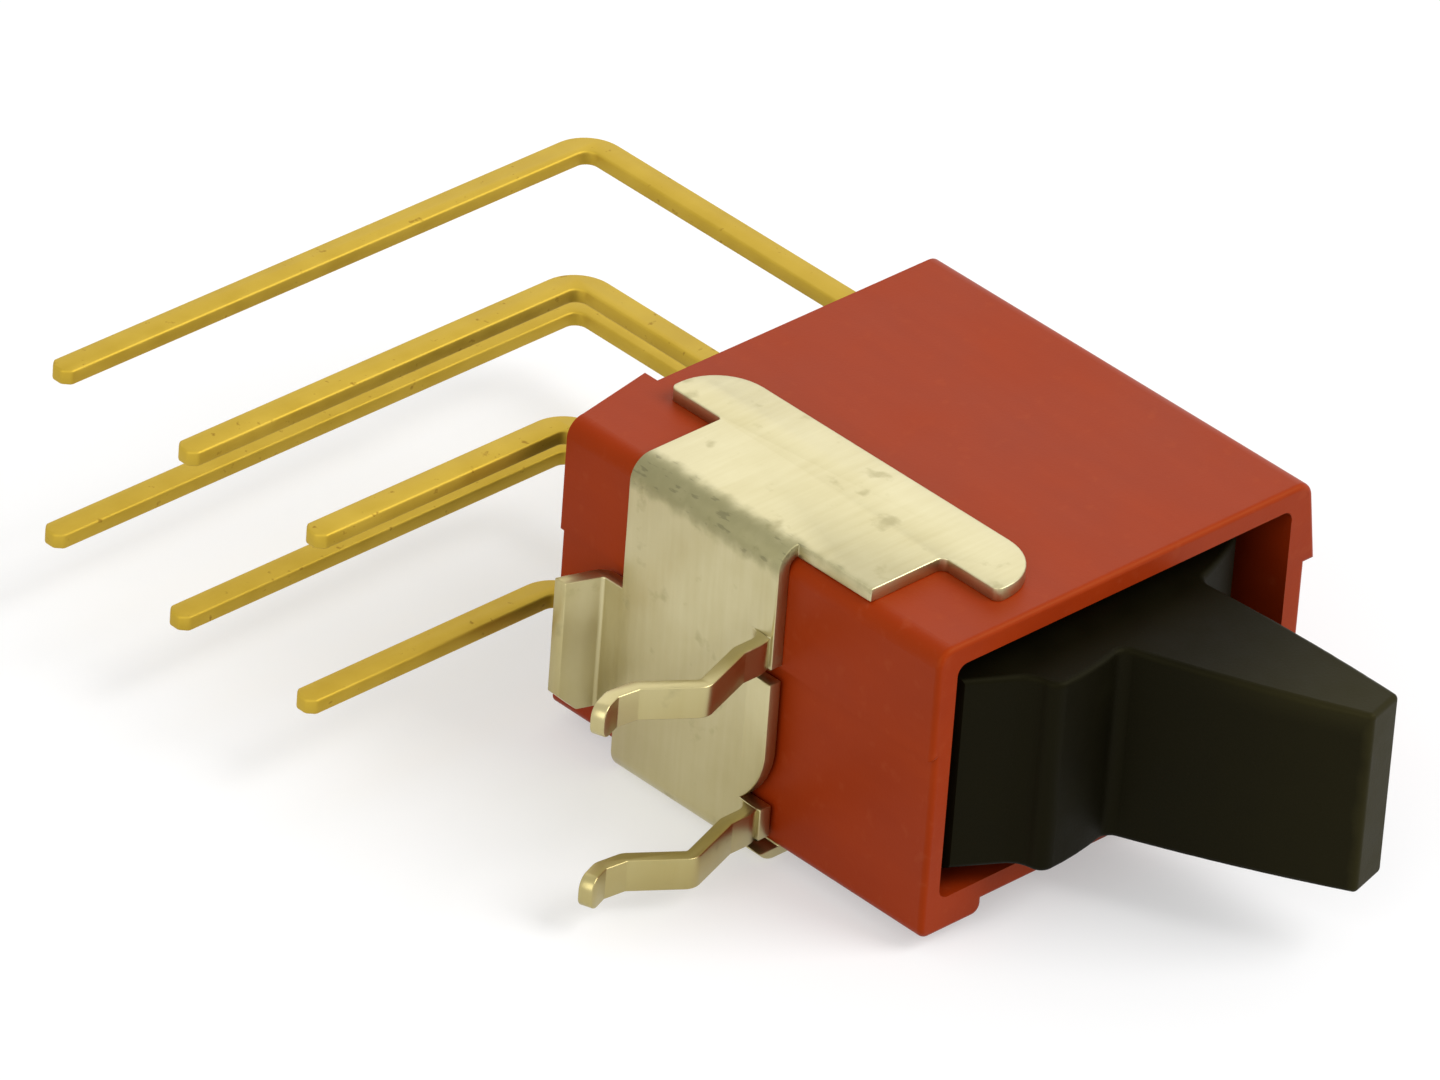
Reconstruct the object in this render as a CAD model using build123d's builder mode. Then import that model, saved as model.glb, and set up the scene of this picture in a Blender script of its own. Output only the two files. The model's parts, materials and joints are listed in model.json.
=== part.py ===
from build123d import *
from math import cos, radians, sin, sqrt, tan
import os

# Miniature two-pole paddle rocker switch for printed boards, right-angle terminals, snap-in bracket.
# Frame: the board lies on the -X side, parallel to the YZ plane, and the paddle points to -Y. The
# origin is on the board-side face of the bracket's plate, at the middle of the housing's depth and
# height. The switch lies on its -Z side. Millimetres.

os.makedirs("parts", exist_ok=True)

# Housing: width runs along X (away from the board), depth along Y (to the paddle), height along Z
body_width = 12.7
body_depth = 13.2
body_height = 8.0
wall_side = 0.65          # beside the opening, across X
wall_flat = 0.6           # above and below the opening, across Z
corner_round = 0.3
top_round = 0.5           # the two long edges of the top
band_out = 0.36           # corner bands on the flank away from the board
band_tall = 2.42
foot_drop, foot_width = 0.4, 2.2      # corner bands under the housing
ledge_in, ledge_drop = 0.12, 3.15     # board-side flank steps in below this depth from the top
seat_step = 0.15          # rear opening is wider, so that the base has a seat
lug_proud, lug_long = 0.45, 3.0       # lip of the rear rim, which tapers out to the board side

# Rocker and its bearing
tilt = 15.0               # rest position, each side of centre
pivot_depth = 1.7         # behind the front face
rocker_thick = 5.5        # along the pivot axis
tip_thick = 5.2
skirt_clearance = 0.2     # rounded ends of the skirt to the side walls
skirt_high, skirt_drop = 0.15, 1.3    # ends of the skirt, above and below the pivot
shoulder_half, shoulder_high, shoulder_low = 4.34, 2.42, 2.08
crest_half, crest_high = 3.4, 2.3
flank_half, flank_high = 4.31, 1.33
root_half, waist_half, tip_half = 1.9, 1.39, 0.62
waist_high, lever_length = 5.47, 8.74
root_fillet, shoulder_fillet, flank_fillet = 0.35, 0.4, 0.7
edge_round = 0.15
trunnion_radius = 0.7
bearing_clearance = 0.05
bearing_wall = 0.35
side_clearance = 0.1      # rocker to bearing boss, along the pivot axis

# Terminals: two columns (upper, lower) of three rows (far from the board, middle, near it)
row_pitch = 4.70
column_pitch = 4.83
pin_width = 0.72
pin_thick = 0.42
first_bend = 1.65         # behind the rear face, for the row next to the board
pin_bend = 0.70           # centre-line radius
pin_reach = 6.52          # tips beyond the plate's board face
tip_chamfer = 0.2
head_width = 1.7
fit = 0.02                # between pieces that are sealed or pressed together

# Contact mechanism
seal_recess = 0.1
seal_thick = 1.1
base_thick = 3.1
barrier_thick, barrier_high = 0.6, 2.1
contact_offset = 1.6      # blades and plungers, each side of mid-height
pad_radius, pad_tall, pad_dome = 0.6, 0.28, 3.0
fulcrum_round, fulcrum_half = 0.12, 0.35
blade_thick, blade_width, blade_tilt = 0.25, 1.4, 4.5
blade_overhang = 0.4      # past the centre of the contact pads
groove_clearance = 0.03
plunger_radius, plunger_length, plunger_clearance = 0.65, 2.5, 0.05
plunger_crossing = 0.03   # tip to blade when the rocker passes its middle
hub_half, bore_top = 1.25, 1.0
plunger_proud = 1.23      # bare end of the plunger, out of its bore
spring_wire, spring_turns, spring_chords = 0.16, 4, 10

# Bracket, one folded sheet
sheet = 0.38
fold_round = 0.25         # inside radius of the two long folds
arm_reach = 4.45          # onto the top face, from the board-side flank
bar_width = 1.8
bar_end = 0.8             # ends of the bar to the front and rear faces
hook_round = 1.45
stem_inset = 2.70         # stem to the front and rear faces
plate_rear, plate_front = 2.65, 7.95  # plate's edges, from the rear face
tab_start, tab_out, tab_lean = 1.85, 0.97, 72.0
tab_bend = 0.3            # centre-line radius
tab_top, tab_low, tab_chamfer = 0.6, -3.2, 0.5       # heights from the middle of the housing
leg_high, leg_pitch = 0.90, 5.0
leg_upper_low = 0.95      # lower edge of the upper leg, above the middle of the housing
relief_tall, relief_deep, curve_tall = 0.45, 0.75, 1.5
leg_bend, kink_bend = 0.6, 0.3          # centre-line radii, at the plate and at the kinks
leg_root_out = 0.5        # straight root, beyond the plate
leg_kinks = ((0.95, 0.0), (2.62, 0.56), (3.99, -0.39), (4.72, -0.47), (5.45, -0.20))
tip_round = 0.35

# Places that follow from the sizes above
flank_x = sheet
middle_x = flank_x + body_width / 2
far_x = flank_x + body_width
front_y = -body_depth / 2
rear_y = body_depth / 2
top_z = body_height / 2
low_z = -top_z
foot_z = low_z - foot_drop
cavity_half_x = body_width / 2 - wall_side
cavity_half_z = body_height / 2 - wall_flat
pivot_y = front_y + pivot_depth
rocker_reach = cavity_half_x - skirt_clearance
seal_y = rear_y - seal_recess - seal_thick
base_front_y = seal_y - base_thick
head_y = base_front_y - pin_thick
pad_y = head_y - pad_tall
fulcrum_y = pad_y - row_pitch * tan(radians(blade_tilt)) - fit
plunger_reach = fulcrum_y - blade_thick - plunger_crossing - pivot_y
hub_drop = plunger_reach - plunger_proud
bore_radius = plunger_radius + plunger_clearance
bearing_radius = trunnion_radius + bearing_clearance
columns = {"upper": 1, "lower": -1}
rows = {"near": -row_pitch, "middle": 0, "far": row_pitch}

rocker_plane = Plane(
    origin=(middle_x, pivot_y, 0),
    x_dir=(-cos(radians(tilt)), -sin(radians(tilt)), 0),
    z_dir=(0, 0, 1),
)
rocker_side_plane = Plane(origin=rocker_plane.origin, x_dir=(0, 0, -1), z_dir=rocker_plane.x_dir)
rocker_floor_plane = Plane(
    origin=rocker_plane.origin, x_dir=rocker_plane.x_dir, z_dir=-rocker_plane.y_dir
)
blade_plane = Plane(
    origin=(middle_x, fulcrum_y, 0),
    x_dir=(-cos(radians(blade_tilt)), sin(radians(blade_tilt)), 0),
    z_dir=(0, 0, 1),
)


# Housing: a moulded sleeve, open at the front and the rear, with corner bands and inner bearings
with BuildPart() as housing:
    with BuildSketch(Plane.XZ):
        with BuildLine():
            Polyline(
                (flank_x, top_z),
                (far_x, top_z),
                (far_x + band_out, top_z - band_tall),
                (far_x, top_z - band_tall),
                (far_x, foot_z + band_tall),
                (far_x + band_out, foot_z + band_tall),
                (far_x, foot_z),
                (far_x - foot_width, foot_z),
                (far_x - foot_width, low_z),
                (flank_x + foot_width, low_z),
                (flank_x + foot_width, foot_z),
                (flank_x + ledge_in, foot_z),
                (flank_x + ledge_in, top_z - ledge_drop),
                (flank_x, top_z - ledge_drop),
                close=True,
            )
        make_face()
    extrude(amount=body_depth / 2, both=True)
    long_edges = housing.edges().filter_by(Axis.Y)
    fillet(long_edges.group_by(Axis.Z)[-1], top_round)
    fillet(long_edges.group_by(Axis.Z)[0], corner_round)
    fillet(housing.faces().sort_by(Axis.Y)[0].outer_wire().edges(), edge_round)
    # Through opening, with a wider rear end that seats the base
    with BuildSketch(Plane.XZ):
        with Locations((middle_x, 0)):
            RectangleRounded(2 * cavity_half_x, 2 * cavity_half_z, corner_round)
    extrude(amount=body_depth, both=True, mode=Mode.SUBTRACT)
    with BuildSketch(Plane.XZ.offset(-base_front_y)):
        with Locations((middle_x, 0)):
            RectangleRounded(
                2 * (cavity_half_x + seat_step), 2 * (cavity_half_z + seat_step), corner_round
            )
    extrude(amount=base_front_y - body_depth, mode=Mode.SUBTRACT)
    # Bearing bosses on the inner walls, slotted to the rear for the rocker's trunnions
    boss_face = rocker_thick / 2 + side_clearance
    boss_half = bearing_radius + bearing_wall
    for side in (1, -1):
        with BuildSketch(Plane.XY.offset(side * boss_face)):
            with Locations((middle_x, pivot_y)):
                Circle(boss_half)
            with Locations((middle_x, pivot_y + boss_half / 2)):
                Rectangle(2 * boss_half, boss_half)
        extrude(amount=side * (cavity_half_z - boss_face))
    for side in (1, -1):
        with BuildSketch(Plane.XY.offset(side * boss_face)):
            with Locations((middle_x, pivot_y)):
                Circle(bearing_radius)
            with Locations((middle_x, pivot_y + boss_half)):
                Rectangle(2 * bearing_radius, 2 * boss_half)
        extrude(amount=side * (cavity_half_z - boss_face), mode=Mode.SUBTRACT)
    # Lip of the rear rim, behind the bracket
    with BuildSketch(Plane.XY.offset(top_z)):
        with BuildLine():
            Polyline(
                (flank_x + top_round, rear_y),
                (flank_x + lug_long, rear_y + lug_proud),
                (flank_x + lug_long, rear_y),
                close=True,
            )
        make_face()
    extrude(amount=cavity_half_z + seat_step - top_z)
housing.part.label = "housing"
export_step(housing.part, "parts/housing.step")


def ridges_at(part, half_width, height):
    """The pair of edges along the pivot axis at a given half-width and height of the rocker."""
    found = []
    for edge in part.edges().filter_by(Axis.Z):
        middle = rocker_plane.to_local_coords(edge.center())
        if abs(abs(middle.X) - half_width) < fit and abs(middle.Y - height) < fit:
            found.append(edge)
    return found


# Rocker: paddle, shoulders and skirt in one profile, drafted across its thickness
with BuildPart() as rocker:
    skirt_top_x = sqrt(rocker_reach**2 - skirt_high**2)
    skirt_low_x = sqrt(rocker_reach**2 - skirt_drop**2)
    with BuildSketch(rocker_plane):
        with BuildLine():
            Line((0, lever_length), (tip_half, lever_length))
            ThreePointArc((tip_half, lever_length), (waist_half, waist_high), (root_half, shoulder_high))
            ThreePointArc((root_half, shoulder_high), (crest_half, crest_high), (shoulder_half, shoulder_low))
            Line((shoulder_half, shoulder_low), (flank_half, flank_high))
            Line((flank_half, flank_high), (skirt_top_x, skirt_high))
            RadiusArc((skirt_top_x, skirt_high), (skirt_low_x, -skirt_drop), rocker_reach)
            Line((skirt_low_x, -skirt_drop), (0, -skirt_drop))
            mirror(about=Plane.YZ)
        make_face()
    extrude(amount=rocker_thick / 2, both=True)
    fillet(ridges_at(rocker, root_half, shoulder_high), root_fillet)
    fillet(ridges_at(rocker, shoulder_half, shoulder_low), shoulder_fillet)
    fillet(ridges_at(rocker, flank_half, flank_high), flank_fillet)
    # Draft of the paddle, seen from its edge
    with BuildSketch(rocker_side_plane):
        with BuildLine():
            Polyline(
                (0, -rocker_reach),
                (rocker_thick / 2, -rocker_reach),
                (rocker_thick / 2, shoulder_high),
                (tip_thick / 2, lever_length),
                (0, lever_length),
            )
            mirror(about=Plane.YZ)
        make_face()
    extrude(amount=rocker_reach, both=True, mode=Mode.INTERSECT)
    paddle_height = [(edge, rocker_plane.to_local_coords(edge.center())) for edge in rocker.edges()]
    fillet(
        [edge for edge, middle in paddle_height if middle.Y > waist_high - edge_round], edge_round
    )
    # Hub behind the skirt, bored for the two plungers
    with BuildSketch(rocker_plane):
        with Locations((0, -(skirt_drop + hub_drop) / 2)):
            Rectangle(2 * hub_half, hub_drop - skirt_drop)
    extrude(amount=rocker_thick / 2, both=True)
    with BuildSketch(rocker_floor_plane.offset(bore_top)):
        with Locations((0, contact_offset), (0, -contact_offset)):
            Circle(bore_radius)
    extrude(amount=hub_drop, mode=Mode.SUBTRACT)
    # Trunnions
    with BuildSketch(rocker_plane):
        Circle(trunnion_radius)
    extrude(amount=cavity_half_z - bearing_clearance, both=True)
rocker.part.label = "rocker"
export_step(rocker.part, "parts/rocker.step")


# Base: closes the sleeve, carries the six terminals, and a barrier keeps the two poles apart
terminal_spots = [
    (middle_x + offset, side * column_pitch / 2) for side in (1, -1) for offset in rows.values()
]
with BuildPart() as terminal_base:
    with BuildSketch(Plane.XZ.offset(-base_front_y)):
        with Locations((middle_x, 0)):
            RectangleRounded(
                2 * (cavity_half_x + seat_step - fit), 2 * (cavity_half_z + seat_step - fit), corner_round
            )
    extrude(amount=-base_thick)
    with BuildSketch(Plane.XZ.offset(-base_front_y)):
        with Locations((middle_x, 0)):
            Rectangle(2 * (cavity_half_x - fit), barrier_thick)
    extrude(amount=barrier_high)
    fillet(terminal_base.faces().sort_by(Axis.Y)[0].edges().filter_by(Axis.X), edge_round)
    with BuildSketch(Plane.XZ.offset(-base_front_y)):
        with Locations(*terminal_spots):
            Rectangle(pin_width + 2 * fit, pin_thick + 2 * fit)
    extrude(amount=-base_thick, mode=Mode.SUBTRACT)
terminal_base.part.label = "terminal_base"
export_step(terminal_base.part, "parts/terminal_base.step")


# Seal: resin poured round the terminals, just below the rear rim
with BuildPart() as epoxy_seal:
    with BuildSketch(Plane.XZ.offset(-seal_y)):
        with Locations((middle_x, 0)):
            RectangleRounded(
                2 * (cavity_half_x + seat_step - fit), 2 * (cavity_half_z + seat_step - fit), corner_round
            )
        with Locations(*terminal_spots):
            Rectangle(pin_width + 2 * fit, pin_thick + 2 * fit, mode=Mode.SUBTRACT)
    extrude(amount=-seal_thick)
epoxy_seal.part.label = "epoxy_seal"
export_step(epoxy_seal.part, "parts/epoxy_seal.step")


# Terminals: stamped in an L with a rounded bend, inner head folded over the base towards mid-height
for column, side in columns.items():
    head_inner = side * (contact_offset - pad_radius - edge_round)
    head_outer = side * (column_pitch + pin_thick) / 2
    for row, offset in rows.items():
        run_y = rear_y + first_bend + offset + row_pitch
        with BuildPart() as terminal:
            with BuildSketch(Plane.XY.offset(side * column_pitch / 2)) as outline:
                with BuildLine():
                    FilletPolyline(
                        (middle_x + offset, head_y),
                        (middle_x + offset, run_y),
                        (-pin_reach, run_y),
                        radius=pin_bend,
                    )
                trace(line_width=pin_width)
                chamfer(outline.vertices().group_by(Axis.X)[0], tip_chamfer)
            extrude(amount=pin_thick / 2, both=True)
            with BuildSketch(Plane.XZ.offset(-base_front_y)):
                with Locations((middle_x + offset, (head_inner + head_outer) / 2)):
                    Rectangle(head_width, abs(head_outer - head_inner))
            extrude(amount=pin_thick)
            if row == "middle":
                # Ridge that the contact blade rocks on
                with BuildSketch(Plane.XY.offset(side * contact_offset)):
                    with BuildLine():
                        Polyline(
                            (middle_x + fulcrum_round, fulcrum_y),
                            (middle_x + fulcrum_half, head_y),
                            (middle_x - fulcrum_half, head_y),
                            (middle_x - fulcrum_round, fulcrum_y),
                        )
                        ThreePointArc(
                            (middle_x - fulcrum_round, fulcrum_y),
                            (middle_x, fulcrum_y - fulcrum_round),
                            (middle_x + fulcrum_round, fulcrum_y),
                        )
                    make_face()
                extrude(amount=blade_width / 2, both=True)
        terminal.part.label = f"terminal_{column}_{row}"
        export_step(terminal.part, f"parts/terminal_{column}_{row}.step")


# Contact pads: domed silver faces on the heads of the outer rows
for column, side in columns.items():
    for row in ("near", "far"):
        with BuildPart() as contact_pad:
            with BuildSketch(Plane.XY.offset(side * contact_offset)) as section:
                pad_x = middle_x + rows[row]
                rim_y = pad_y + pad_dome - sqrt(pad_dome**2 - pad_radius**2)
                with BuildLine():
                    Line((pad_x, head_y), (pad_x + pad_radius, head_y))
                    Line((pad_x + pad_radius, head_y), (pad_x + pad_radius, rim_y))
                    RadiusArc((pad_x + pad_radius, rim_y), (pad_x, pad_y), pad_dome)
                    Line((pad_x, pad_y), (pad_x, head_y))
                make_face()
            revolve(axis=Axis((pad_x, 0, side * contact_offset), (0, 1, 0)))
        contact_pad.part.label = f"contact_pad_{column}_{row}"
        export_step(contact_pad.part, f"parts/contact_pad_{column}_{row}.step")


# Contact blades: flat springs with a groove that rides on the ridge of the middle terminal
blade_half = row_pitch + blade_overhang
for column, side in columns.items():
    with BuildPart() as contact_blade:
        with BuildSketch(blade_plane.offset(side * contact_offset)):
            with Locations((0, blade_thick / 2)):
                Rectangle(2 * blade_half, blade_thick)
            Circle(fulcrum_round + groove_clearance, mode=Mode.SUBTRACT)
        extrude(amount=blade_width / 2, both=True)
        fillet(contact_blade.edges().filter_by(Axis((0, 0, 0), blade_plane.y_dir)), blade_thick)
    contact_blade.part.label = f"contact_blade_{column}"
    export_step(contact_blade.part, f"parts/contact_blade_{column}.step")


# Plungers with domed tips, and the coil springs behind them in the rocker's bores
spring_radius = bore_radius - spring_wire / 2 - plunger_clearance
spring_start = bore_top + spring_wire / 2 + fit
spring_end = plunger_reach - plunger_length - spring_wire / 2 - fit
for column, side in columns.items():
    bore_plane = Plane(
        origin=rocker_floor_plane.from_local_coords((0, side * contact_offset, 0)),
        x_dir=rocker_floor_plane.x_dir,
        z_dir=rocker_floor_plane.z_dir,
    )
    with BuildPart() as plunger:
        with BuildSketch(bore_plane.offset(plunger_reach - plunger_length)):
            Circle(plunger_radius)
        extrude(amount=plunger_length)
        fillet(plunger.edges().sort_by(Axis(bore_plane.origin, bore_plane.z_dir))[-1], plunger_radius * 0.8)
    plunger.part.label = f"plunger_{column}"
    export_step(plunger.part, f"parts/plunger_{column}.step")
    with BuildPart() as plunger_spring:
        coil_plane = bore_plane.offset(spring_start)
        chord_turn = 360 / spring_chords
        chord_rise = (spring_end - spring_start) / (spring_turns * spring_chords)
        coil_points = [
            coil_plane.from_local_coords((
                spring_radius * cos(radians(step * chord_turn)),
                spring_radius * sin(radians(step * chord_turn)),
                step * chord_rise,
            ))
            for step in range(spring_turns * spring_chords + 1)
        ]
        with BuildLine():
            coil = Polyline(*coil_points)
        with BuildSketch(Plane(origin=coil @ 0, z_dir=coil % 0)):
            RegularPolygon(spring_wire / 2, 6)
        sweep(path=coil, transition=Transition.RIGHT)
    plunger_spring.part.label = f"plunger_spring_{column}"
    export_step(plunger_spring.part, f"parts/plunger_spring_{column}.step")


# Bracket: one sheet folded over the top, the board side and the underside, with two kinked legs
with BuildPart() as mounting_bracket:
    plate_middle_y = rear_y - (plate_rear + plate_front) / 2
    plate_width = plate_front - plate_rear
    bar_low_x = flank_x + arm_reach - bar_width
    with BuildSketch(Plane.XZ.offset(-plate_middle_y)):
        with BuildLine():
            FilletPolyline(
                (bar_low_x, top_z + sheet / 2),
                (sheet / 2, top_z + sheet / 2),
                (sheet / 2, foot_z - sheet / 2),
                (flank_x + arm_reach, foot_z - sheet / 2),
                radius=fold_round + sheet / 2,
            )
        trace(line_width=sheet)
    extrude(amount=plate_width / 2, both=True)
    fillet(mounting_bracket.edges().filter_by(Axis.Z).group_by(Axis.X)[-1], corner_round)
    # T-shaped arm on the top, its bar hooked round at both ends
    with BuildSketch(Plane.XY.offset(top_z)) as top_arm:
        stem_start = flank_x + fold_round
        with Locations(((stem_start + bar_low_x + bar_width / 2) / 2, 0)):
            Rectangle(bar_low_x + bar_width / 2 - stem_start, body_depth - 2 * stem_inset)
        with Locations((bar_low_x + bar_width / 2, 0)):
            Rectangle(bar_width, body_depth - 2 * bar_end)
        corners = top_arm.vertices()
        fillet(corners.group_by(Axis.X)[-1], hook_round)
        fillet(top_arm.vertices().filter_by(lambda v: abs(v.X - bar_low_x) < fit), fold_round * 0.8)
    extrude(amount=sheet)
    # Tab: continues the plate's rear edge, then leans out towards the board
    with BuildSketch(Plane.XY.offset(tab_low)):
        with BuildLine():
            FilletPolyline(
                (sheet / 2, rear_y - plate_rear - fold_round),
                (sheet / 2, rear_y - tab_start),
                (-tab_out - sheet, rear_y - tab_start + (tab_out + 1.5 * sheet) / tan(radians(tab_lean))),
                radius=tab_bend,
            )
        trace(line_width=sheet)
    extrude(amount=tab_top - tab_low)
    with BuildSketch(Plane.YZ.offset(-tab_out)):
        with Locations((rear_y - tab_start, 0)):
            Rectangle(body_depth, body_height)
    extrude(amount=-body_width, mode=Mode.SUBTRACT)
    chamfer(mounting_bracket.faces().sort_by(Axis.X)[0].edges().group_by(Axis.Z)[0], tab_chamfer)
    # Curved relief where the plate's front edge runs down to the lower leg
    leg_y = rear_y - plate_front + sheet / 2
    edge_y = rear_y - plate_front
    curve_low = leg_upper_low - leg_pitch + leg_high
    with BuildSketch(Plane.YZ.offset(-sheet)):
        with BuildLine():
            Line((edge_y, curve_low), (edge_y + relief_deep, curve_low))
            RadiusArc((edge_y + relief_deep, curve_low), (edge_y, curve_low + curve_tall), curve_tall * 1.5)
            Line((edge_y, curve_low + curve_tall), (edge_y, curve_low))
        make_face()
    extrude(amount=flank_x + 2 * sheet - fit, mode=Mode.SUBTRACT)
    # Legs: turned out from the plate's front edge, kinked to snap behind the board
    for low in (leg_upper_low, leg_upper_low - leg_pitch):
        with BuildSketch(Plane.YZ.offset(-sheet)):
            with Locations((rear_y - plate_front + relief_deep / 2, low - relief_tall / 2)):
                Rectangle(relief_deep, relief_tall)
        extrude(amount=flank_x + 2 * sheet - fit, mode=Mode.SUBTRACT)
        with BuildSketch(Plane.XY.offset(low)):
            with BuildLine():
                root = FilletPolyline(
                    (sheet / 2, leg_y + relief_deep),
                    (sheet / 2, leg_y),
                    (-leg_root_out, leg_y),
                    radius=leg_bend,
                )
                FilletPolyline(
                    root @ 1,
                    *[(-out, leg_y - forward) for out, forward in leg_kinks],
                    radius=kink_bend,
                )
            trace(line_width=sheet)
        extrude(amount=leg_high)
    for tip in mounting_bracket.faces().sort_by(Axis.X)[:2]:
        fillet(tip.edges().filter_by(Axis.Z, reverse=True), tip_round)
mounting_bracket.part.label = "mounting_bracket"
export_step(mounting_bracket.part, "parts/mounting_bracket.step")
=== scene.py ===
import json
import math

import bpy
from mathutils import Matrix, Vector


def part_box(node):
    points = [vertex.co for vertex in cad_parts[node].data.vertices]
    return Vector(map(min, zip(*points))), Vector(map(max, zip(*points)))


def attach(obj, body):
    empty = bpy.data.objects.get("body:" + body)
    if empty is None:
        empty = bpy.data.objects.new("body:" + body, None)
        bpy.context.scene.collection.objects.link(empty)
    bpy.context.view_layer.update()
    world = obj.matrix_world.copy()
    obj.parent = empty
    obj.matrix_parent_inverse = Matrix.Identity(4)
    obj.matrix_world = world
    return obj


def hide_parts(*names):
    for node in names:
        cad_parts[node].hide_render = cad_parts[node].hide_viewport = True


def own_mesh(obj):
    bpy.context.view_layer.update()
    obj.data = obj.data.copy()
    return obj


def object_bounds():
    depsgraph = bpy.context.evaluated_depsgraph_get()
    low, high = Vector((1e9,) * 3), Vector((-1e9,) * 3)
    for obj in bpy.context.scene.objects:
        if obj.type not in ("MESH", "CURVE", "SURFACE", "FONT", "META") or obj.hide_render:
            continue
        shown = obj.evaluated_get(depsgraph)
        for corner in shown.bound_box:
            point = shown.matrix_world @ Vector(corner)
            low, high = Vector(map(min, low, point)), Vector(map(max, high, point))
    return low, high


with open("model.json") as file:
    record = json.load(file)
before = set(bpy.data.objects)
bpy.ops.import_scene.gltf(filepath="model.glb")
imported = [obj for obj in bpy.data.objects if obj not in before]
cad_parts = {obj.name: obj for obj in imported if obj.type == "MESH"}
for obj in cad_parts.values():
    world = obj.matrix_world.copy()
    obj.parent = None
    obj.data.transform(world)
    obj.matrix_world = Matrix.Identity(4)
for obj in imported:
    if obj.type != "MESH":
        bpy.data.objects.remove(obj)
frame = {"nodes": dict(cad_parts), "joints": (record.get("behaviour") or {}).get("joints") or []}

cad_box = [list(corner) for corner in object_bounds()]

# Camera: stands high over the corner between the paddle end and the board side, far back, with a
# long lens, and leans a few degrees over. It is set by where the rear far corner comes in its view.
view_side, view_up, view_lean = math.radians(-45.50), math.radians(32.73), math.radians(4.29)
rear_far_corner = Vector((0.01308, 0.0066, -0.0042))
corner_away, corner_right, corner_up = 0.380, 0.005168, 0.000267
lens_long, film_wide = 375.5, 36
lens_slid_right, lens_slid_up = 0.00465278, -0.00013889
nearest_seen, farthest_seen = 0.01, 10
view_back = Vector((
    math.sin(view_side) * math.cos(view_up),
    -math.cos(view_side) * math.cos(view_up),
    math.sin(view_up),
))
level_right = Vector((math.cos(view_side), math.sin(view_side), 0))
level_up = view_back.cross(level_right)
view_right = math.cos(view_lean) * level_right + math.sin(view_lean) * level_up
view_top = view_back.cross(view_right)
eye = rear_far_corner + corner_away * view_back - corner_right * view_right - corner_up * view_top
bpy.ops.object.select_all(action="DESELECT")
bpy.ops.object.camera_add(location=eye)
camera = bpy.context.object
camera.name = "view_camera"
camera.matrix_world = (
    Matrix.Translation(eye) @ Matrix((view_right, view_top, view_back)).transposed().to_4x4()
)
camera.data.sensor_width = film_wide
camera.data.lens = lens_long
camera.data.shift_x = lens_slid_right
camera.data.shift_y = lens_slid_up
camera.data.clip_start = nearest_seen
camera.data.clip_end = farthest_seen
bpy.context.scene.camera = camera
bpy.context.scene.view_settings.view_transform = "Standard"

# Floor: a plain white sheet under the switch, which keeps its soft shadow. A camera and a shiny
# surface see the sheet and the room beyond as white.
sheet_wide, sheet_gap = 1.6, 0.00002
sheet_grey, room_grey = (0.60, 0.60, 0.60), (0.55, 0.55, 0.55)
no_light, white_light = (0, 0, 0), (1, 1, 1)


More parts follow.
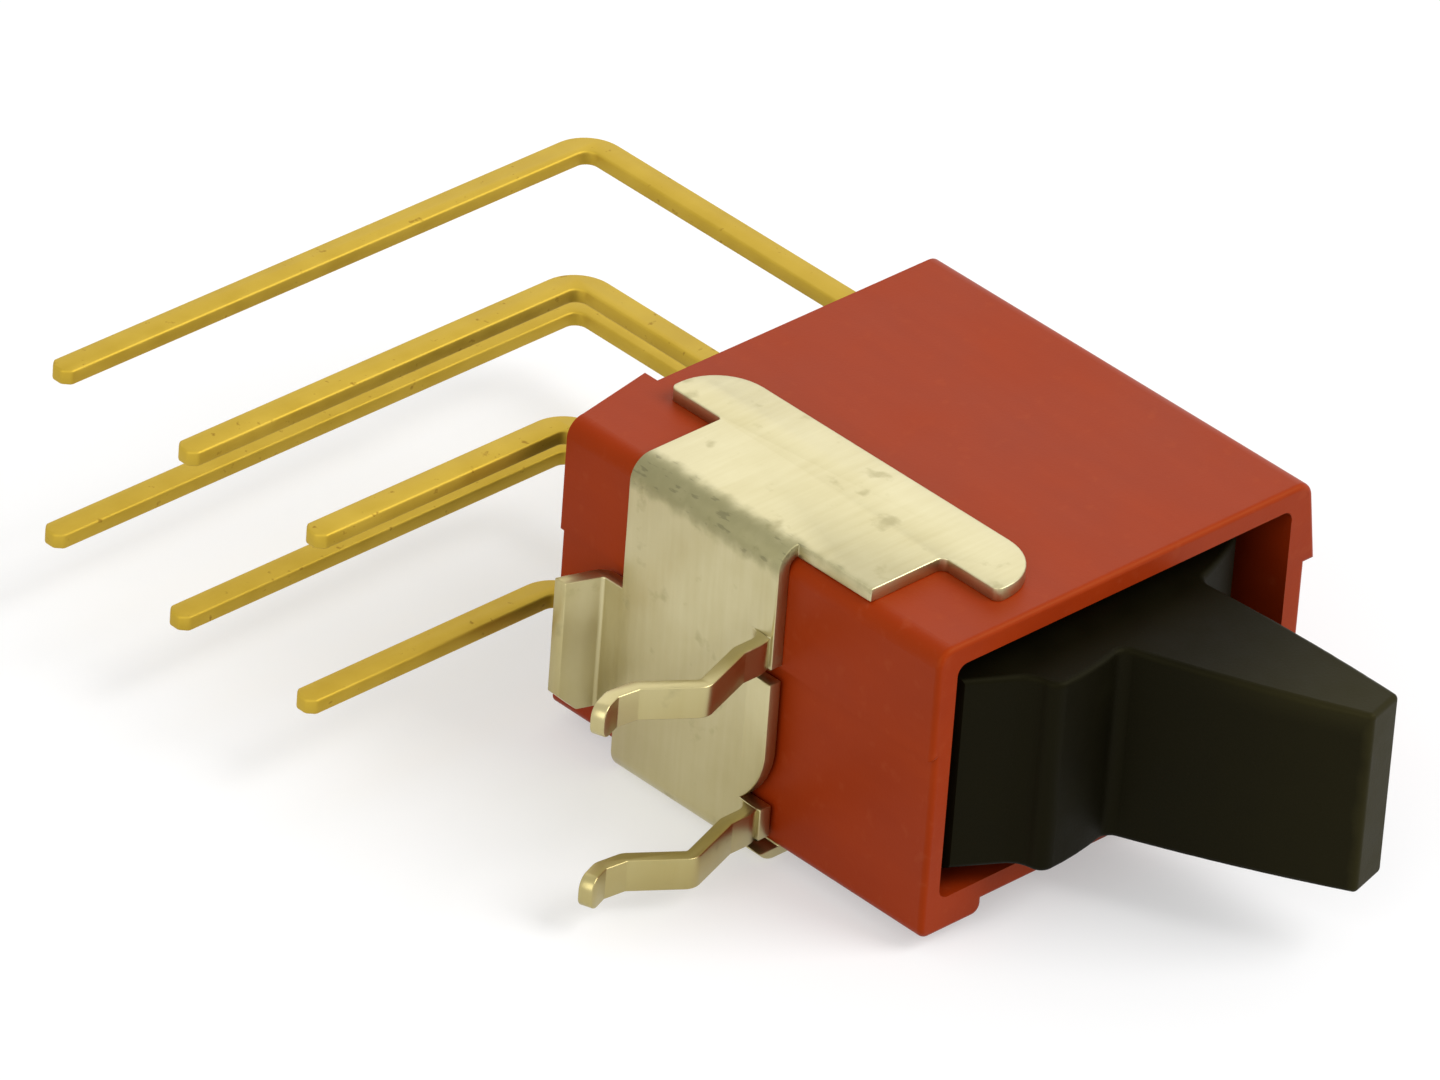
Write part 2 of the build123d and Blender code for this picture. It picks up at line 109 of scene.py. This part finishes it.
class Wire:
    """A value on its way through a material's nodes. Sums on it add Math nodes."""

    def __init__(self, tree, socket=None):
        self.tree = tree
        self.socket = socket

    def node(self, kind, settings, inputs, output=0):
        """Adds a node, sets it up and feeds it, and gives the wire from one of its outputs."""
        made = self.tree.nodes.new(kind)
        for name, value in settings.items():
            if name == "stops":
                for stop, (position, colour) in zip(made.color_ramp.elements, value):
                    stop.position = position
                    stop.color = colour
            else:
                setattr(made, name, value)
        for name, value in inputs.items():
            if isinstance(value, Wire):
                self.tree.links.new(value.socket, made.inputs[name])
            else:
                made.inputs[name].default_value = value
        return Wire(self.tree, made.outputs[output])

    def into(self, shader, socket):
        """Ends the wire in one of a shader's sockets."""
        self.tree.links.new(self.socket, shader.inputs[socket])

    def sum(self, operation, first, second=0):
        return self.node("ShaderNodeMath", {"operation": operation}, {0: first, 1: second})

    def larger(self, other):
        return self.sum("MAXIMUM", self, other)

    def blend(self, first, second):
        """The first colour at 0 and the second at 1. Either may be a wire that carries one."""
        share_in, first_in, second_in, colour_out = 0, 6, 7, 2
        first, second = (c if isinstance(c, Wire) else (*c, 1) for c in (first, second))
        inputs = {share_in: self, first_in: first, second_in: second}
        return self.node("ShaderNodeMix", {"data_type": "RGBA"}, inputs, colour_out)

    def span(self, low, high):
        """0 at low and 1 at high, smooth between them."""
        inputs = {"Value": self, "From Min": low, "From Max": high}
        return self.node("ShaderNodeMapRange", {"interpolation_type": "SMOOTHSTEP"}, inputs)

    def peaks(self, low, high):
        """0 up to low and 1 from high on, which leaves a pattern's highest spots alone."""
        stops = ((low, (0, 0, 0, 1)), (high, (1, 1, 1, 1)))
        return self.node("ShaderNodeValToRGB", {"stops": stops}, {"Fac": self})

    def place_on_piece(self):
        return self.node("ShaderNodeTexCoord", {}, {}, "Object")

    def along(self, axis):
        return self.node("ShaderNodeSeparateXYZ", {}, {"Vector": self}, axis)

    def stretched(self, scale):
        """The same places, with a pattern drawn out along the axes whose scale is small."""
        return self.node("ShaderNodeMapping", {}, {"Vector": self, "Scale": scale})

    def noise(self, scale, detail):
        inputs = {"Vector": self, "Scale": scale, "Detail": detail}
        return self.node("ShaderNodeTexNoise", {}, inputs)

    def bumps(self, strength, distance):
        inputs = {"Height": self, "Strength": strength, "Distance": distance}
        return self.node("ShaderNodeBump", {}, inputs)

    def __add__(self, other):
        return self.sum("ADD", self, other)

    __radd__ = __add__

    def __sub__(self, other):
        return self.sum("SUBTRACT", self, other)

    def __rsub__(self, other):
        return self.sum("SUBTRACT", other, self)

    def __mul__(self, other):
        return self.sum("MULTIPLY", self, other)

    __rmul__ = __mul__

    def __abs__(self):
        return self.sum("ABSOLUTE", self)


def start_finish(name, **shader_values):
    """A new material, its shader with the even values set, and a wire to start from."""
    finish = bpy.data.materials.new(name)
    finish.use_nodes = True
    shader = finish.node_tree.nodes["Principled BSDF"]
    for socket, value in shader_values.items():
        shader.inputs[socket.replace("_", " ")].default_value = value
    return finish, shader, Wire(finish.node_tree)


def seen_directly(start):
    """1 for what a camera, a shiny surface or glass sees directly, and 0 for plain light."""
    by_camera, in_gloss, through_glass = (
        start.node("ShaderNodeLightPath", {}, {}, ray)
        for ray in ("Is Camera Ray", "Is Glossy Ray", "Is Transmission Ray")
    )
    return by_camera.larger(in_gloss.larger(through_glass))


bpy.ops.object.select_all(action="DESELECT")
bpy.ops.mesh.primitive_plane_add(size=sheet_wide, location=(0, 0, cad_box[0][2] - sheet_gap))
floor = bpy.context.object
floor.name = "floor"
floor_finish, shader, start = start_finish(
    "floor_paper",
    Base_Color=(*sheet_grey, 1),
    Roughness=0.9,
    Specular_IOR_Level=0,
    Emission_Strength=0.4,
)
seen_directly(start).blend(no_light, white_light).into(shader, "Emission Color")
floor.data.materials.append(floor_finish)

room = bpy.data.worlds.new("room")
bpy.context.scene.world = room
room.use_nodes = True
room_light = seen_directly(Wire(room.node_tree)).blend(room_grey, white_light)
room_light.into(room.node_tree.nodes["Background"], "Color")

# Lamps: a broad soft key over the paddle end, a fill from the board side, and a wide soft panel
# high behind the switch, which lays a sheen on everything that faces up. All three aim at it.
lamp_plan = (
    ("key_lamp", (0.20, -0.30, 0.34), 0.30, 1.65),
    ("fill_lamp", (-0.45, -0.12, 0.24), 0.40, 0.95),
    ("sheen_lamp", (0.27, 0.265, 0.243), 0.36, 0.26),
)
for lamp_name, lamp_place, lamp_wide, lamp_power in lamp_plan:
    bpy.ops.object.select_all(action="DESELECT")
    bpy.ops.object.light_add(type="AREA", location=lamp_place)
    lamp = bpy.context.object
    lamp.name = lamp_name
    lamp.data.size = lamp_wide
    lamp.data.energy = lamp_power
    lamp.rotation_euler = (-Vector(lamp_place)).to_track_quat("-Z", "Y").to_euler()

# Housing: one red-orange moulding of filled plastic with a fine satin skin. It holds everything
# else, and shows the slight mottle and flow of its filler and a few rubbed spots.
deep_red, pale_red = (0.240, 0.0165, 0.0014), (0.350, 0.0350, 0.0034)
rubbed_red = (0.42, 0.10, 0.045)
housing_finish, shader, start = start_finish(
    "housing_red", Specular_IOR_Level=0.2, Specular_Tint=(1, 0.68, 0.20, 1)
)
place = start.place_on_piece()
mottle = place.noise(scale=300, detail=5)
flow = place.stretched((1, 0.2, 1)).noise(scale=1500, detail=3)
grain = place.noise(scale=12000, detail=2)
rubs = place.noise(scale=2300, detail=6).peaks(0.60, 0.74)
red = (0.6 * mottle + 0.4 * flow).blend(deep_red, pale_red)
(0.16 * rubs).blend(red, rubbed_red).into(shader, "Base Color")
(0.34 + 0.22 * mottle + 0.10 * rubs).into(shader, "Roughness")
(grain + 0.5 * flow).bumps(strength=0.14, distance=0.00002).into(shader, "Normal")


def wear(node_names, finish):
    """Puts a finish on CAD nodes in place of the plain one they come with."""
    for node_name in node_names:
        mesh = frame["nodes"][node_name].data
        mesh.materials.clear()
        mesh.materials.append(finish)


wear(["housing"], housing_finish)

# Rocker: one black moulding of tough plastic, fine and matt, whose trunnions turn in bearings
# inside the housing. The paddle's end face and the upper side of its end are a little paler and
# smoother than the rest: partly wear from fingers, partly painted sheen where light falls on them.
deep_black, pale_black = (0.0018, 0.0014, 0.0004), (0.0042, 0.0035, 0.0011)
# The paler black of the paddle's end: partly worn plastic, partly painted sheen
worn_and_sheen_black = (0.044, 0.038, 0.013)
rest_tilt = math.radians(15)
tilt_joint = next(joint for joint in frame["joints"] if joint["name"] == "rocker_tilt")
pivot_x, pivot_y = tilt_joint["pos_m"][:2]
paddle_long = (pivot_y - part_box("rocker")[0].y) / math.cos(rest_tilt)
end_wear_sheen_starts, end_wear_sheen_full = paddle_long - 0.0006, paddle_long - 0.0001
side_wear_sheen_starts = 0.0035
painted_sheen_upper_starts, painted_sheen_upper_full = 0.0018, 0.0027
wear_sheen_uneven = 0.0004
rocker_finish, shader, start = start_finish(
    "rocker_black", Specular_IOR_Level=0.08, Specular_Tint=(1, 0.92, 0.45, 1)
)
place = start.place_on_piece()
mottle = place.noise(scale=1200, detail=5)
grain = place.noise(scale=14000, detail=3)
across_x, along_y, along_z = (place.along(axis) for axis in "XYZ")
# How far out along the tilted paddle each point lies, made uneven so that the painted wear and
# sheen has no ruled edge
from_pivot = math.sin(rest_tilt) * (across_x - pivot_x) - math.cos(rest_tilt) * (along_y - pivot_y)
from_pivot = from_pivot + wear_sheen_uneven * (mottle - 0.5)
end_wear_and_sheen = from_pivot.span(end_wear_sheen_starts, end_wear_sheen_full)
# Painted sheen: the paddle's upper side is made paler, as if light fell on it
painted_sheen_upper = along_z.span(painted_sheen_upper_starts, painted_sheen_upper_full)
side_wear_and_sheen = from_pivot.span(side_wear_sheen_starts, paddle_long) * (0.12 + 0.30 * painted_sheen_upper)
# Wear and painted sheen together, paler towards the paddle's end and more so on its upper side
wear_and_painted_sheen = (0.42 * end_wear_and_sheen).larger(side_wear_and_sheen)
black = mottle.blend(deep_black, pale_black)
wear_and_painted_sheen.blend(black, worn_and_sheen_black).into(shader, "Base Color")
(0.44 + 0.20 * mottle - 0.14 * wear_and_painted_sheen).into(shader, "Roughness")
(grain + 0.6 * mottle).bumps(strength=0.16, distance=0.00002).into(shader, "Normal")
wear(["rocker"], rocker_finish)

# Terminal base: the same kind of black moulding, pressed into the rear of the housing, where it
# holds the terminals. It is left as moulded, a little duller than the rocker.
deep_grey, pale_grey = (0.008, 0.008, 0.007), (0.017, 0.016, 0.014)
base_finish, shader, start = start_finish("base_black", Specular_IOR_Level=0.25)
place = start.place_on_piece()
mottle = place.noise(scale=900, detail=4)
grain = place.noise(scale=9000, detail=3)
mottle.blend(deep_grey, pale_grey).into(shader, "Base Color")
(0.5 + 0.2 * mottle).into(shader, "Roughness")
grain.bumps(strength=0.2, distance=0.00002).into(shader, "Normal")
wear(["terminal_base"], base_finish)

# Terminals: six strips stamped from copper alloy, bent at a right angle and gold plated. The
# press rounds their edges, so each is finished here from its plain solid with eased edges.
deep_gold, pale_gold, brown_speck = (0.42, 0.275, 0.022), (0.59, 0.430, 0.068), (0.20, 0.085, 0.012)
terminal_edge, edge_steps = 0.00006, 2
welded_within, flat_within, sharp_over = 0.0000001, math.radians(0.5), math.radians(40)
terminal_nodes = sorted(
    name for name in frame["nodes"] if name.startswith("terminal_") and name != "terminal_base"
)
gold_finish, shader, start = start_finish("terminal_gold", Metallic=1.0)
place = start.place_on_piece()
tarnish = place.noise(scale=900, detail=5)
draw_lines = place.stretched((0.3, 0.3, 1)).noise(scale=9000, detail=3)
specks = place.noise(scale=3600, detail=4).peaks(0.66, 0.74)
gold = tarnish.blend(deep_gold, pale_gold)
(0.5 * specks).blend(gold, brown_speck).into(shader, "Base Color")
(0.50 + 0.22 * tarnish + 0.10 * specks).into(shader, "Roughness")
(draw_lines + 0.5 * tarnish).bumps(strength=0.12, distance=0.00001).into(shader, "Normal")


def ease_edges(node_name, piece_name, width, finish):
    """A copy of a plain solid with its sharp edges eased, which rides where the solid does."""
    mesh = frame["nodes"][node_name].data.copy()
    piece = bpy.data.objects.new(piece_name, mesh)
    bpy.context.scene.collection.objects.link(piece)
    bpy.ops.object.select_all(action="DESELECT")
    piece.select_set(True)
    bpy.context.view_layer.objects.active = piece
    bpy.ops.object.mode_set(mode="EDIT")
    bpy.ops.mesh.select_all(action="SELECT")
    bpy.ops.mesh.remove_doubles(threshold=welded_within)
    bpy.ops.mesh.dissolve_limited(angle_limit=flat_within)
    bpy.ops.object.mode_set(mode="OBJECT")
    eased = piece.modifiers.new("eased_edges", "BEVEL")
    eased.width = width
    eased.segments = edge_steps
    eased.limit_method = "ANGLE"
    eased.angle_limit = sharp_over
    eased.use_clamp_overlap = False
    bpy.ops.object.modifier_apply(modifier="eased_edges")
    bpy.ops.object.shade_smooth_by_angle(angle=sharp_over)
    mesh.materials.clear()
    mesh.materials.append(finish)
    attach(piece, "frame")
    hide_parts(node_name)
    return piece


for node_name in terminal_nodes:
    ease_edges(node_name, node_name + "_plated", terminal_edge, gold_finish)

# Contact pads: four silver alloy buttons, brazed to the heads of the outer terminals, with the
# soft grey bloom of handled silver.
deep_silver, pale_silver = (0.62, 0.60, 0.56), (0.84, 0.83, 0.80)
pad_nodes = [name for name in frame["nodes"] if name.startswith("contact_pad_")]
silver_finish, shader, start = start_finish("contact_silver", Metallic=1.0)
bloom = start.place_on_piece().noise(scale=2500, detail=5)
bloom.blend(deep_silver, pale_silver).into(shader, "Base Color")
(0.22 + 0.25 * bloom).into(shader, "Roughness")
wear(pad_nodes, silver_finish)

# Contact blades: two springy copper alloy strips, silver plated, each rocking on the ridge of its
# middle terminal. The blank's rolling lines run along them.
warm_silver, cool_silver = (0.66, 0.60, 0.48), (0.84, 0.81, 0.74)
blade_finish, shader, start = start_finish("blade_silver", Metallic=1.0)
place = start.place_on_piece()
rolling = place.stretched((0.1, 1, 1)).noise(scale=9000, detail=3)
bloom = place.noise(scale=1400, detail=4)
bloom.blend(warm_silver, cool_silver).into(shader, "Base Color")
(0.22 + 0.22 * bloom).into(shader, "Roughness")
rolling.bumps(strength=0.12, distance=0.00001).into(shader, "Normal")
wear(["contact_blade_upper", "contact_blade_lower"], blade_finish)

# Plungers: two turned brass pins with domed tips, which slide in the rocker and press on the
# blades. The lathe leaves fine rings round them.
deep_brass, pale_brass = (0.50, 0.34, 0.09), (0.70, 0.52, 0.20)
brass_finish, shader, start = start_finish("plunger_brass", Metallic=1.0)
place = start.place_on_piece()
rings = place.stretched((0.1, 1, 0.1)).noise(scale=14000, detail=2)
tone = place.noise(scale=1500, detail=4)
tone.blend(deep_brass, pale_brass).into(shader, "Base Color")
(0.2 + 0.2 * tone).into(shader, "Roughness")
rings.bumps(strength=0.1, distance=0.00001).into(shader, "Normal")
wear(["plunger_upper", "plunger_lower"], brass_finish)

# Plunger springs: two coils of round spring wire, wound on a mandrel and dropped into the
# rocker's bores behind the plungers. On the switch each is squeezed as its plunger is pushed in;
# here each coil keeps its rest length and rides with the paddle.
deep_steel, pale_steel = (0.36, 0.35, 0.33), (0.60, 0.59, 0.57)
wire_thick, coil_turns = 0.00016, 4
wire_sides, turn_steps = 12, 32
steel_finish, shader, start = start_finish("spring_steel", Metallic=1.0)
tone = start.place_on_piece().noise(scale=3000, detail=4)
tone.blend(deep_steel, pale_steel).into(shader, "Base Color")
(0.25 + 0.2 * tone).into(shader, "Roughness")
for slide in frame["joints"]:
    if not slide["name"].startswith("plunger_slide_"):
        continue
    node_name = slide["name"].replace("slide", "spring")
    # The plain solid is measured along its bore. The coil is wound upright to that size and turned
    bore_line = Vector(slide["axis"]).normalized()
    across = bore_line.cross(Vector((0, 0, 1)))
    turned = Matrix((across, bore_line.cross(across), bore_line)).transposed()
    local = [turned.transposed() @ vertex.co for vertex in frame["nodes"][node_name].data.vertices]
    low = Vector([min(point[axis] for point in local) for axis in range(3)])
    high = Vector([max(point[axis] for point in local) for axis in range(3)])
    rest_long = high.z - low.z
    coil_radius = (high.y - low.y - wire_thick) / 2
    coil_foot = Vector(((low.x + high.x) / 2, (low.y + high.y) / 2, low.z + wire_thick / 2))
    bpy.ops.object.select_all(action="DESELECT")
    bpy.ops.mesh.primitive_circle_add(
        vertices=wire_sides,
        radius=wire_thick / 2,
        location=(coil_radius, 0, 0),
        rotation=(math.pi / 2, 0, 0),
    )
    spring = bpy.context.object
    spring.name = node_name + "_wire"
    bpy.ops.object.transform_apply()
    coil = spring.modifiers.new("coil", "SCREW")
    coil.screw_offset = (rest_long - wire_thick) / coil_turns
    coil.iterations = coil_turns
    coil.steps = coil.render_steps = turn_steps
    bpy.ops.object.modifier_apply(modifier="coil")
    bpy.ops.object.mode_set(mode="EDIT")
    bpy.ops.mesh.select_all(action="SELECT")
    bpy.ops.mesh.fill_holes(sides=wire_sides)
    bpy.ops.mesh.normals_make_consistent(inside=False)
    bpy.ops.object.mode_set(mode="OBJECT")
    bpy.ops.object.shade_smooth_by_angle(angle=sharp_over)
    spring.matrix_world = Matrix.Translation(turned @ coil_foot) @ turned.to_4x4()
    bpy.ops.object.transform_apply()
    spring.data.materials.append(steel_finish)
    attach(spring, "paddle")
    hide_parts(node_name)
    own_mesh(spring)

# Seal: dark resin poured round the terminals in the rear of the housing. It wets the wall and the
# terminals, so its face dips a little between them.
deep_resin, pale_resin = (0.020, 0.012, 0.006), (0.050, 0.030, 0.014)
seal_edge, rear_face_within, rear_facing = 0.00001, 0.00001, 0.99
dip_steps = ((0.00006, 0.00005), (0.00012, 0.00003), (0.00020, 0.00001))
dips_smooth_under = math.radians(60)
resin_finish, shader, start = start_finish("seal_resin")
place = start.place_on_piece()
cloud = place.noise(scale=700, detail=4)
ripple = place.noise(scale=1600, detail=2)
cloud.blend(deep_resin, pale_resin).into(shader, "Base Color")
(0.16 + 0.22 * cloud).into(shader, "Roughness")
ripple.bumps(strength=0.3, distance=0.00006).into(shader, "Normal")
seal = ease_edges("epoxy_seal", "epoxy_seal_poured", seal_edge, resin_finish)
rear_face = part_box("epoxy_seal")[1].y
for face in seal.data.polygons:
    face.select = face.normal.y > rear_facing and face.center.y > rear_face - rear_face_within
bpy.ops.object.mode_set(mode="EDIT")
bpy.ops.mesh.select_mode(type="FACE")
for inward, dip in dip_steps:
    bpy.ops.mesh.inset(thickness=inward, depth=-dip, use_boundary=True)
bpy.ops.object.mode_set(mode="OBJECT")
bpy.ops.object.shade_smooth_by_angle(angle=dips_smooth_under)

# Bracket: one sheet of tin-plated steel, stamped and folded round the housing, with two kinked
# legs that snap into the board. The plate's rolling lines run round the folds, and the top fold is
# scuffed and dull from the bending tool.
deep_tin, pale_tin, lower_outer_tin = (0.42, 0.360, 0.175), (0.67, 0.620, 0.405), (0.34, 0.265, 0.060)
stained_tin, scuffed_tin, bare_steel = (0.34, 0.30, 0.15), (0.24, 0.225, 0.11), (0.12, 0.11, 0.06)
bracket_edge = 0.00003
bracket_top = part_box("mounting_bracket")[1].z
scuff_full, scuff_ends, scuff_uneven = 0.00040, 0.00090, 0.0006
lower_outer_uneven = 0.0010
low_down_starts, low_down_full = 0.0042, -0.0030
stood_off_starts, stood_off_full = -0.0003, -0.0016
bracket_finish, shader, start = start_finish("bracket_tin", Metallic=1.0)
place = start.place_on_piece()
tone = place.noise(scale=420, detail=5)
lines = place.stretched((0.08, 1, 0.08)).noise(scale=5200, detail=4)
blotch = place.noise(scale=1800, detail=6)
across_x, along_z = place.along("X"), place.along("Z")
# The top fold runs where the sheet's outer face and its top meet
from_fold = abs(across_x) + (bracket_top - along_z) + scuff_uneven * (blotch - 0.5)
scuffed = 1 - from_fold.span(scuff_full, scuff_ends)
scratch = place.stretched((1, 0.25, 1)).noise(scale=7000, detail=4).peaks(0.60, 0.66)
stain = place.noise(scale=1300, detail=7).peaks(0.62, 0.72)
# The tin is darker and yellower low down, and on the legs and tab that stand off the housing
lower_outer_drift = lower_outer_uneven * (tone - 0.5)
low_down = (along_z + lower_outer_drift).span(low_down_starts, low_down_full)
stood_off = (across_x + lower_outer_drift).span(stood_off_starts, stood_off_full)
tin = (0.7 * tone + 0.3 * lines).blend(deep_tin, pale_tin)
tin = (0.26 * low_down + 0.34 * stood_off).blend(tin, lower_outer_tin)
tin = (0.45 * stain).blend(tin, stained_tin)
tin = (scuffed * (0.60 + 0.40 * blotch)).blend(tin, scuffed_tin)
(0.4 * scuffed * scratch).blend(tin, bare_steel).into(shader, "Base Color")
(0.26 + 0.16 * tone + 0.28 * scuffed + 0.12 * stain).into(shader, "Roughness")
relief = lines + 0.5 * blotch - scuffed * scratch
relief.bumps(strength=0.25, distance=0.00002).into(shader, "Normal")
ease_edges(
    "mounting_bracket", "mounting_bracket_plated", bracket_edge, bracket_finish
)
